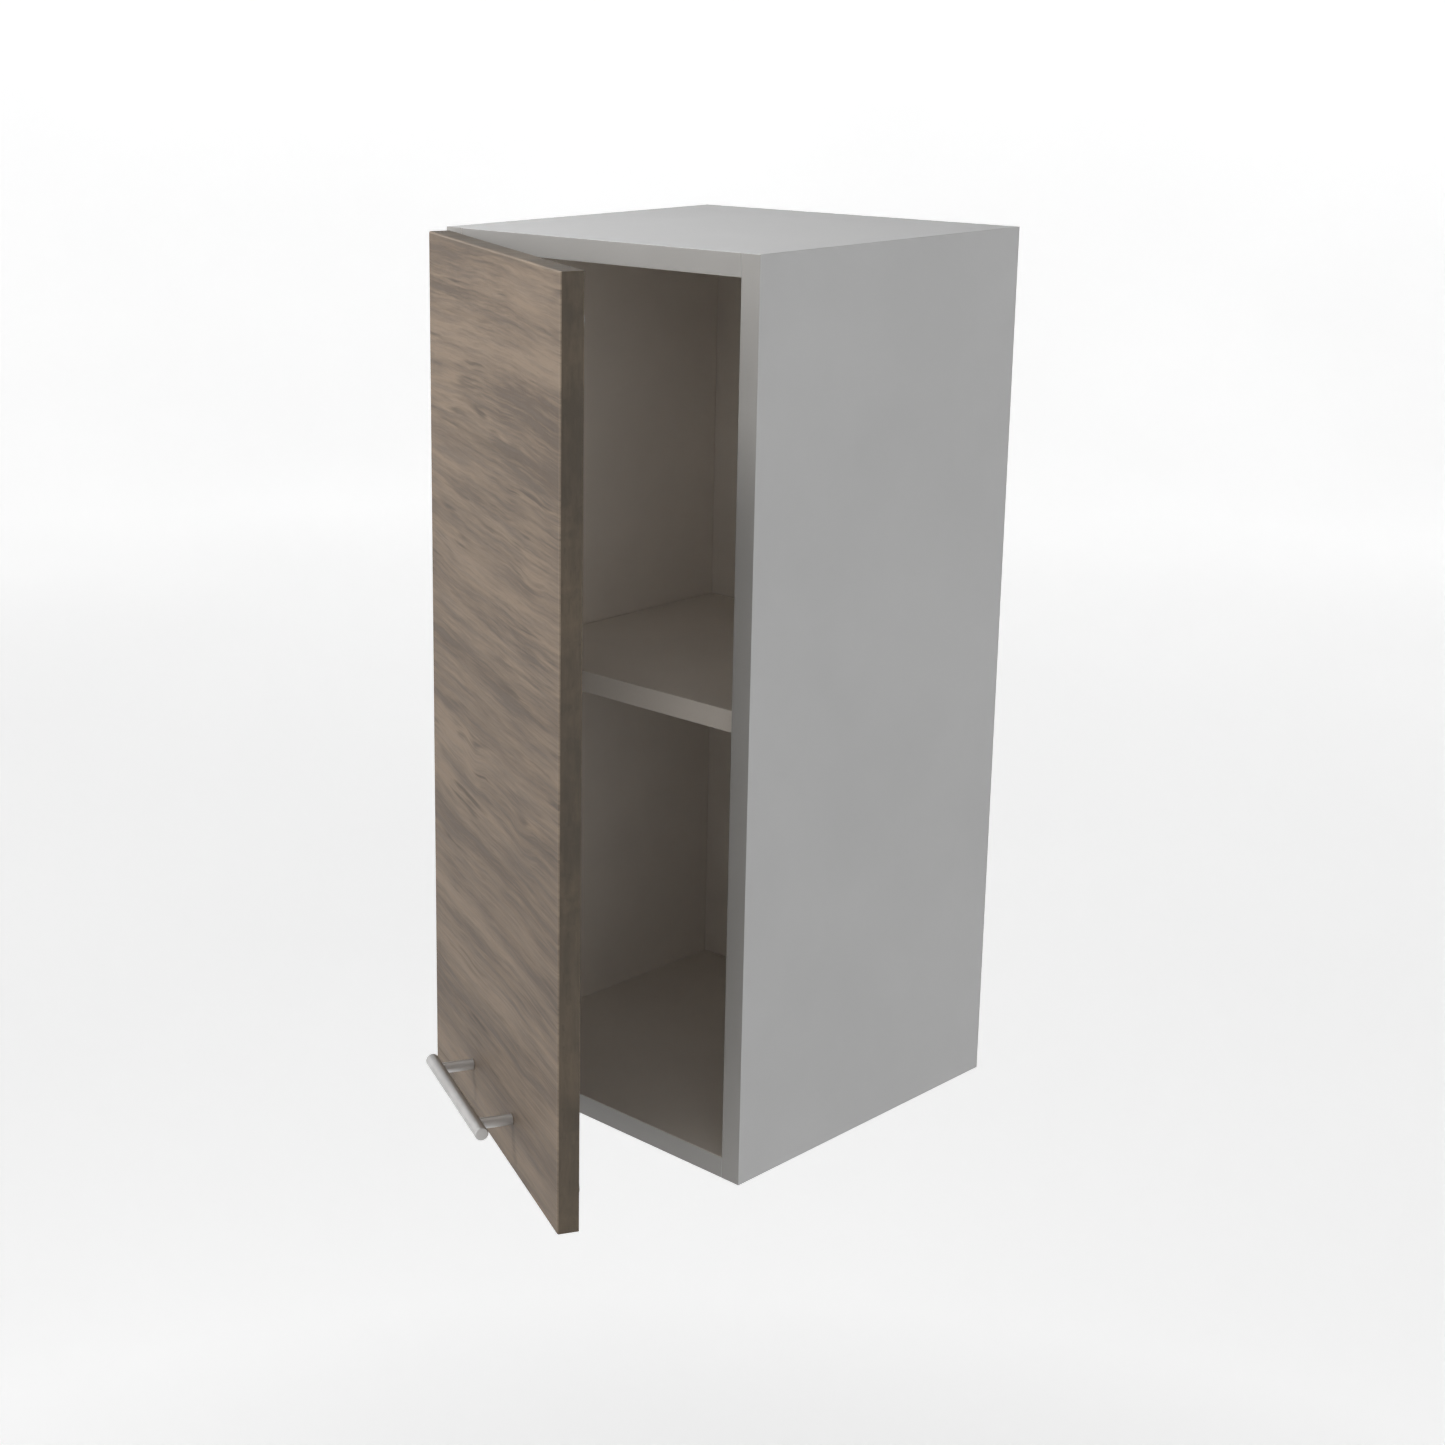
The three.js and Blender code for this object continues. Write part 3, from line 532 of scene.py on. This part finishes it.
def combine(obj, others, operation):
    """Cuts the other objects out of this one, or adds them to it, and removes them."""
    for other in others:
        step = obj.modifiers.new("combine", "BOOLEAN")
        step.operation = operation
        step.solver = "EXACT"
        step.object = other
    apply_modifiers(obj)
    for other in others:
        bpy.data.objects.remove(other)
    return obj


def clean_copy(node, name, materials, local=None):
    """The CAD node's shape as a new object with whole faces, in the `local` frame if one is given."""
    shape = bmesh.new()
    shape.from_mesh(frame["nodes"][node].data)
    bmesh.ops.remove_doubles(shape, verts=shape.verts, dist=0.001 * MM)
    if local is not None:
        shape.transform(local.inverted())
    bmesh.ops.dissolve_limit(
        shape, angle_limit=math.radians(0.5), verts=shape.verts, edges=shape.edges
    )
    return object_from(shape, name, materials, local)


def lathe(name, profile, materials, place=None, segments=64):
    """A closed solid turned about its own Z axis; the profile lists (radius, height) pairs."""
    shape = bmesh.new()
    line = [shape.verts.new((radius, 0, height)) for radius, height in profile]
    edges = [shape.edges.new(pair) for pair in zip(line, line[1:])]
    bmesh.ops.spin(
        shape, geom=line + edges, cent=(0, 0, 0), axis=(0, 0, 1),
        angle=math.tau, steps=segments, use_duplicate=False,
    )
    bmesh.ops.remove_doubles(shape, verts=shape.verts, dist=0.0001 * MM)
    bmesh.ops.recalc_face_normals(shape, faces=shape.faces)
    return object_from(shape, name, materials, place)


def prism(name, outline, low, high, materials, place=None, taper=1.0):
    """A plan outline of (x, y) points made into a solid from z = low to z = high. Its lower end
    is `taper` times as wide as its upper end."""
    shape = bmesh.new()
    floor = [shape.verts.new((x * taper, y * taper, low)) for x, y in outline]
    roof = [shape.verts.new((x, y, high)) for x, y in outline]
    shape.faces.new(floor[::-1])
    shape.faces.new(roof)
    for index, vertex in enumerate(floor):
        after = (index + 1) % len(floor)
        shape.faces.new((vertex, floor[after], roof[after], roof[index]))
    bmesh.ops.recalc_face_normals(shape, faces=shape.faces)
    return object_from(shape, name, materials, place)


def stadium(width, length, steps=12):
    """The outline of a slot shape that is `length` long along Y and has round ends."""
    radius = width / 2
    reach = length / 2 - radius
    points = []
    for side, start in ((1, 0.0), (-1, math.pi)):
        for step in range(steps + 1):
            angle = start + math.pi * step / steps
            points.append((radius * math.cos(angle), side * reach + radius * math.sin(angle)))
    return points


def arc(centre, radius, start, end, steps=5):
    """(radius, height) pairs along a rounded corner of a turned profile; angles in degrees."""
    for step in range(steps + 1):
        angle = math.radians(start + (end - start) * step / steps)
        yield (centre[0] + radius * math.cos(angle), centre[1] + radius * math.sin(angle))


def paint_faces(obj, choose):
    """Gives each face the material index that choose(centre, normal) returns."""
    for face in obj.data.polygons:
        face.material_index = choose(face.center, face.normal)


# ---- carcass --------------------------------------------------------------------------------

BAND_ROUNDING = 0.6 * MM
BACK_BOARD_ROUNDING = 0.2 * MM


def carcass_board(node, inward):
    """One carcass board: front band in painted shade, raw rear edge, inner face in painted light."""
    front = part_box(node)[0].y
    piece = clean_copy(node, f"{node}_board", [GREY, SHADED_EDGE_BAND, CHIPBOARD, INSIDE_GREY_PAINTED_LIGHT])

    def material_of(centre, normal):
        # front edges take the band's darker grey, painted shade
        if normal.y < -0.9 and centre.y < front + 1 * MM:
            return 1
        if normal.y > 0.9:
            return 2
        # inner faces take the lighter, warmer inside grey: painted bounce light
        return 3 if normal.dot(inward) > 0.9 else 0

    paint_faces(piece, material_of)
    rounded(piece, BAND_ROUNDING)
    attach(piece, node)


def build_carcass():
    carcass_board("side_panel_left", Vector((1, 0, 0)))
    carcass_board("side_panel_right", Vector((-1, 0, 0)))
    carcass_board("top_panel", Vector((0, 0, -1)))
    carcass_board("bottom_panel", Vector((0, 0, 1)))
    # the shelf and the back's inner face also take the inside grey's painted bounce light
    shelf = clean_copy("shelf", "shelf_board", [INSIDE_GREY_PAINTED_LIGHT])
    attach(rounded(shelf, BAND_ROUNDING), "shelf")
    back = clean_copy("back_panel", "back_board", [INSIDE_GREY_PAINTED_LIGHT, HARDBOARD])
    paint_faces(back, lambda centre, normal: 1 if normal.y > 0.5 else 0)
    attach(rounded(back, BACK_BOARD_ROUNDING, segments=2), "back_panel")


# ---- door -----------------------------------------------------------------------------------

FRONT_ROUNDING = 1.2 * MM
BACK_ROUNDING = 0.5 * MM
CUP_BORE_GAP = 0.3 * MM
SCREW_BORE_RADIUS = 2.2 * MM


def cylinder_tool(radius, low, high, place, segments=48):
    profile = [(0, low), (radius, low), (radius, high), (0, high)]
    return lathe("tool", profile, [], place, segments)


def build_door_panel():
    """The decor board with rounded edges, and the bores for the cups and the screws."""
    low, high = box_in("door_panel", DOOR)
    shape = bmesh.new()
    bmesh.ops.create_cube(shape, size=1, matrix=Matrix.Diagonal((*(high - low), 1)))
    front = [e for e in shape.edges if all(v.co.y < 0 for v in e.verts)]
    bmesh.ops.bevel(
        shape, geom=front, offset=FRONT_ROUNDING, segments=4, profile=0.42, affect="EDGES",
        clamp_overlap=True,
    )
    back = [e for e in shape.edges if all(v.co.y > high.y - 0.01 * MM for v in e.verts)]
    bmesh.ops.bevel(
        shape, geom=back, offset=BACK_ROUNDING, segments=3, profile=0.5, affect="EDGES",
        clamp_overlap=True,
    )
    panel = object_from(shape, "door_board", [OAK, OAK_EDGE, OAK_PAINTED_HIGHLIGHT], DOOR)

    def material_of(_, normal):
        if abs(normal.y) < 0.2:
            return 1
        # the front rounding takes the lighter oak, a painted highlight
        return 2 if -0.98 < normal.y < 0 else 0

    paint_faces(panel, material_of)

    tools = []
    for node in frame["nodes"]:
        if node.startswith("hinge_cup_screw") or node.startswith("handle_screw"):
            place, first, last = axis_place(node, (0, -1, 0))
            shank = (last.z - first.z) / 2 + 1 * MM
            tools.append(cylinder_tool(SCREW_BORE_RADIUS, -shank, shank, place, 24))
        elif node in ("hinge_cup_upper", "hinge_cup_lower"):
            place, first, last = axis_place(node, (0, -1, 0))
            radius = (last.x - first.x) / 2 - CUP_RIM + CUP_BORE_GAP
            tools.append(cylinder_tool(radius, first.z, last.z + CUP_BORE_GAP, place, 72))
    combine(panel, tools, "DIFFERENCE")
    panel.data.transform(DOOR)
    panel.matrix_world = Matrix.Identity(4)
    attach(level_normals(panel), "door_panel")


# ---- handle -----------------------------------------------------------------------------------

BAR_CHAMFER = 0.6 * MM
CHAMFER_EASING = 0.1 * MM
POST_EDGE = 0.2 * MM
SADDLE_GAP = 0.03 * MM


def build_handle():
    """A turned bar with chamfered ends, on two posts whose tops are hollowed to fit it."""
    place, _, high = axis_place("handle_bar", (1, 0, 0))
    radius, half = high.y, high.z
    end = [
        (0, half), (radius - BAR_CHAMFER, half),
        (radius - CHAMFER_EASING, half - BAR_CHAMFER * 0.8), (radius, half - BAR_CHAMFER * 1.4),
    ]
    profile = [(r, -h) for r, h in end] + end[::-1]
    bar = lathe("handle_bar_turned", profile, [SATIN_NICKEL], place, 96)
    attach(level_normals(bar, 28), "handle_bar")

    for side in ("left", "right"):
        node = f"handle_post_{side}"
        stand, first, last = axis_place(node, (0, -1, 0))
        post = lathe(f"{node}_turned", [
            (0, first.z), (last.x - POST_EDGE, first.z), (last.x, first.z + POST_EDGE),
            (last.x, last.z), (0, last.z),
        ], [SATIN_NICKEL], stand, 64)
        combine(post, [cylinder_tool(radius + SADDLE_GAP, -half, half, place, 96)], "DIFFERENCE")
        attach(level_normals(post), node)


# ---- screws, pins and dowels ------------------------------------------------------------------

THREAD_START = 0.6 * MM  # below the head
THREAD_PITCH = 1.1 * MM


def cross_outline(reach, half_width):
    """The plan of a cross-head driver's recess."""
    quarter = [(reach, -half_width), (reach, half_width), (half_width, half_width)]
    points = []
    for turn in range(4):
        for x, y in quarter:
            for _ in range(turn):
                x, y = -y, x
            points.append((x, y))
    return points


def threaded(radius, start, end, pitch, depth):
    """The flank line of a threaded shank from `start` to a blunt point at `end`."""
    taper = 2.2 * radius
    height = start
    while height < end - taper:
        yield (radius - depth, height)
        yield (radius, height + pitch * 0.35)
        yield (radius, height + pitch * 0.5)
        yield (radius - depth, height + pitch * 0.85)
        height += pitch
    yield (radius - depth, end - taper)
    yield (radius * 0.25, end)
    yield (0, end)


def build_screw(node, direction):
    """A pan-head screw with a cross recess, as long and thick as the CAD's."""
    place, _, high = axis_place(node, direction)
    points = [place.inverted() @ vertex.co for vertex in frame["nodes"][node].data.vertices]
    heights = sorted({round(point.z, 5) for point in points})
    top, under, end = heights[0], heights[2], heights[-1]
    head_radius, head_height = high.x, under - top
    shank = min(point.xy.length for point in points if abs(point.z - under) < 0.02 * MM)
    profile = [(0, top), (head_radius * 0.45, top), (head_radius * 0.72, top + head_height * 0.1)]
    profile += [(head_radius * 0.9, top + head_height * 0.28)]
    profile += [(head_radius, top + head_height * 0.55), (head_radius, under - 0.1 * MM)]
    profile += [(head_radius - 0.1 * MM, under), (shank, under)]
    profile += threaded(shank, under + THREAD_START, end, THREAD_PITCH, shank * 0.25)
    screw = lathe(f"{node}_turned", profile, [ZINC], place, 40)
    cross = cross_outline(head_radius * 0.56, head_radius * 0.14)
    depth = min(head_height * 0.9, shank)
    turned = place @ Matrix.Rotation(math.pi, 4, "X")
    tool = prism("tool", cross, -top - depth, -top + 0.5 * MM, [], turned, taper=0.72)
    combine(screw, [tool], "DIFFERENCE")
    smooth_by_angle(screw.data, 40)
    attach(screw, node)


def build_hanger_screw(node):
    """A headless adjusting screw with a cross recess in its front end."""
    place, _, high = axis_place(node, (0, 1, 0))
    radius, half = high.x, high.z
    edge = 0.25 * MM
    screw = lathe(f"{node}_turned", [
        (0, -half), (radius - edge, -half), (radius, -half + edge), (radius, half - edge),
        (radius - edge, half), (0, half),
    ], [ZINC], place, 40)
    turned = place @ Matrix.Rotation(math.pi, 4, "X")
    cross = cross_outline(radius * 0.66, radius * 0.15)
    tool = prism("tool", cross, half - 2 * MM, half + 1 * MM, [], turned, taper=0.8)
    combine(screw, [tool], "DIFFERENCE")
    smooth_by_angle(screw.data, 40)
    attach(screw, node)


def build_pin(node):
    """A pin with rounded ends."""
    place, _, high = axis_place(node, (0, 0, 1))
    radius, half = high.x, high.z
    ends = list(arc((radius * 0.6, half - radius * 0.4), radius * 0.4, 90, 0, 3))
    top = [(0, half)] + ends
    profile = top + [(r, -h) for r, h in reversed(top)]
    pin = lathe(f"{node}_turned", profile, [ZINC], place, 32)
    smooth_by_angle(pin.data, 50)
    attach(pin, node)


DOWEL_CHAMFER = 1.2 * MM


def build_dowel(node):
    """A fluted beech dowel with chamfered ends."""
    place, _, high = axis_place(node, (1, 0, 0))
    radius, half = high.y, high.z
    flutes, per_flute = 18, 4
    tip = half - DOWEL_CHAMFER
    shape = bmesh.new()
    rings = []
    for height, scale in ((-half, 0.78), (-tip, 1), (tip, 1), (half, 0.78)):
        ring = []
        for step in range(flutes * per_flute):
            angle = math.tau * step / (flutes * per_flute)
            reach = radius * scale * (1 - 0.06 * (step % per_flute == 0))
            ring.append(shape.verts.new((reach * math.cos(angle), reach * math.sin(angle), height)))
        rings.append(ring)
    for lower, upper in zip(rings, rings[1:]):
        for index, vertex in enumerate(lower):
            after = (index + 1) % len(lower)
            shape.faces.new((vertex, lower[after], upper[after], upper[index]))
    shape.faces.new(rings[0][::-1])
    shape.faces.new(rings[-1])
    dowel = object_from(shape, f"{node}_fluted", [BEECH], place)
    smooth_by_angle(dowel.data, 20)
    attach(dowel, node)


def build_bumper(node):
    """A soft domed stud, glued on by its flat side."""
    place, low, high = axis_place(node, (0, 1, 0))
    radius, bottom, top = high.x, low.z, high.z
    height = top - bottom
    profile = [(0, bottom), (radius * 0.99, bottom), (radius, bottom + height * 0.1)]
    profile += [
        (radius * math.cos(a), bottom + height * (0.4 + 0.6 * math.sin(a)))
        for a in (math.radians(90) * step / 10 for step in range(11))
    ]
    bumper = lathe(f"{node}_dome", profile, [CLEAR_RUBBER], place, 48)
    smooth_by_angle(bumper.data, 50)
    attach(bumper, node)


# ---- hinge cups -------------------------------------------------------------------------------

CUP_RIM = 1.5 * MM  # how far the rim reaches past the cup's body
CUP_WALL = 1.3 * MM
CUP_FLOOR = 0.8 * MM
CUP_CORNER = 0.8 * MM
POCKET_CORNER = 1 * MM
LIP_ROUNDING = 0.5 * MM
FLANGE = 1.1 * MM
WING_WIDTH = 12 * MM
WING_HOLE_RADIUS = 1.9 * MM
LUG = {"width": 5 * MM, "near": 4.3 * MM, "far": 5.9 * MM}


def build_cup(which):
    """A drawn cup with a rim, a rounded fixing wing and two lugs for the link's pin."""
    node = f"hinge_cup_{which}"
    place, low, high = axis_place(node, (0, 1, 0))
    rim, bottom, mouth = (high.x - low.x) / 2, low.z, high.z
    body = rim - CUP_RIM
    pocket = body - CUP_WALL
    floor = bottom + CUP_FLOOR
    profile = [(0, bottom)]
    profile += arc((body - CUP_CORNER, bottom + CUP_CORNER), CUP_CORNER, -90, 0)
    profile += [(body, mouth - FLANGE), (rim - 0.1 * MM, mouth - FLANGE)]
    profile += [(rim, mouth - FLANGE + 0.1 * MM)]
    profile += arc((rim - LIP_ROUNDING, mouth - LIP_ROUNDING), LIP_ROUNDING, 0, 90)
    profile += arc((pocket + LIP_ROUNDING, mouth - LIP_ROUNDING), LIP_ROUNDING, 90, 180)
    profile += arc((pocket - POCKET_CORNER, floor + POCKET_CORNER), POCKET_CORNER, 0, -90)
    profile += [(0, floor)]
    cup = lathe(f"{node}_drawn", profile, [NICKEL], place, 96)

    screws = [axis_place(f"hinge_cup_screw_{which}_{end}", (0, 1, 0))[0] for end in ("high", "low")]
    holes = [cylinder_tool(WING_HOLE_RADIUS, -20 * MM, 20 * MM, screw, 24) for screw in screws]
    across = (place.inverted() @ screws[0].translation).x
    lowest, highest = box_in(node, DOOR)
    outline = stadium(WING_WIDTH, highest.z - lowest.z)
    turned = place @ Matrix.Translation((across, 0, 0))
    wing = prism("wing", outline, mouth - FLANGE, mouth - 0.15 * MM, [NICKEL], turned)
    inner = cylinder_tool(body - 0.4 * MM, bottom, mouth + 1 * MM, place, 96)
    combine(wing, [inner, *holes], "DIFFERENCE")
    rounded(wing, 0.25 * MM, segments=2)

    pin = box_in(f"hinge_cup_pin_{which}", place)
    pin_x, pin_z = (pin[0].x + pin[1].x) / 2, (pin[0].z + pin[1].z) / 2
    lugs = []
    for side in (-1, 1):
        half = LUG["width"] / 2
        outline = [(pin_x - half, floor - 0.4 * MM), (pin_x + half, floor - 0.4 * MM)]
        outline += [(pin_x + half * math.cos(a), pin_z + half * 0.75 * math.sin(a))
                    for a in (math.pi * step / 12 for step in range(13))]
        ends = sorted((side * LUG["near"], side * LUG["far"]))
        upright = place @ Matrix.Rotation(math.radians(90), 4, "X")
        lugs.append(prism("lug", outline, ends[0], ends[1], [NICKEL], upright))
    walls = cylinder_tool(pocket + 0.3 * MM, bottom, mouth, place, 96)
    for lug in lugs:
        keep = walls.copy()
        bpy.context.scene.collection.objects.link(keep)
        combine(lug, [keep], "INTERSECT")
        rounded(lug, 0.15 * MM, segments=2)
    bpy.data.objects.remove(walls)
    level_normals(cup)
    merge(cup, [wing, *lugs])
    attach(cup, node)


def merge(obj, others):
    """Puts the others' faces, with their normals, into one object."""
    shape = bmesh.new()
    shape.from_mesh(obj.data)
    for other in others:
        mesh = other.data
        mesh.transform(obj.matrix_world.inverted() @ other.matrix_world)
        shape.from_mesh(mesh)
        bpy.data.objects.remove(other)
    shape.to_mesh(obj.data)
    shape.free()
    smooth_by_angle(obj.data)


# ---- everything ---------------------------------------------------------------------------------

def soften(node, finish, width):
    """The CAD's own shape with its edges rounded."""
    home = home_of(node)
    piece = clean_copy(node, f"{node}_formed", [finish], home)
    attach(rounded(piece, width, segments=2), node)


def build_hardware():
    for node in sorted(frame["nodes"]):
        kind = node.split("_")
        if node.startswith(("hinge_plate_screw", "hinge_side_adjuster", "hinge_clamp_screw")):
            build_screw(node, (-1, 0, 0))
        elif node.startswith(("hinge_cup_screw", "handle_screw")):
            build_screw(node, (0, -1, 0))
        elif node.startswith("hanger_screw"):
            build_hanger_screw(node)
        elif "pin" in kind and kind[0] == "hinge":
            build_pin(node)
        elif kind[0] == "dowel":
            build_dowel(node)
        elif node.startswith("door_bumper"):
            build_bumper(node)
        elif node.startswith(("hinge_arm", "hinge_plate", "hinge_inner_link", "hinge_outer_link")):
            soften(node, NICKEL, 0.25 * MM)
        elif node.startswith("shelf_pin"):
            soften(node, NICKEL, 0.3 * MM)
        elif node.startswith("hanger_hook"):
            soften(node, ZINC, 0.5 * MM)
        elif node.startswith("hanger_housing"):
            soften(node, WHITE_PLASTIC, 0.8 * MM)


add_camera()
add_lights()
add_floor(studio_white("studio_floor"))
build_carcass()
build_door_panel()
build_handle()
build_hardware()
build_cup("upper")
build_cup("lower")
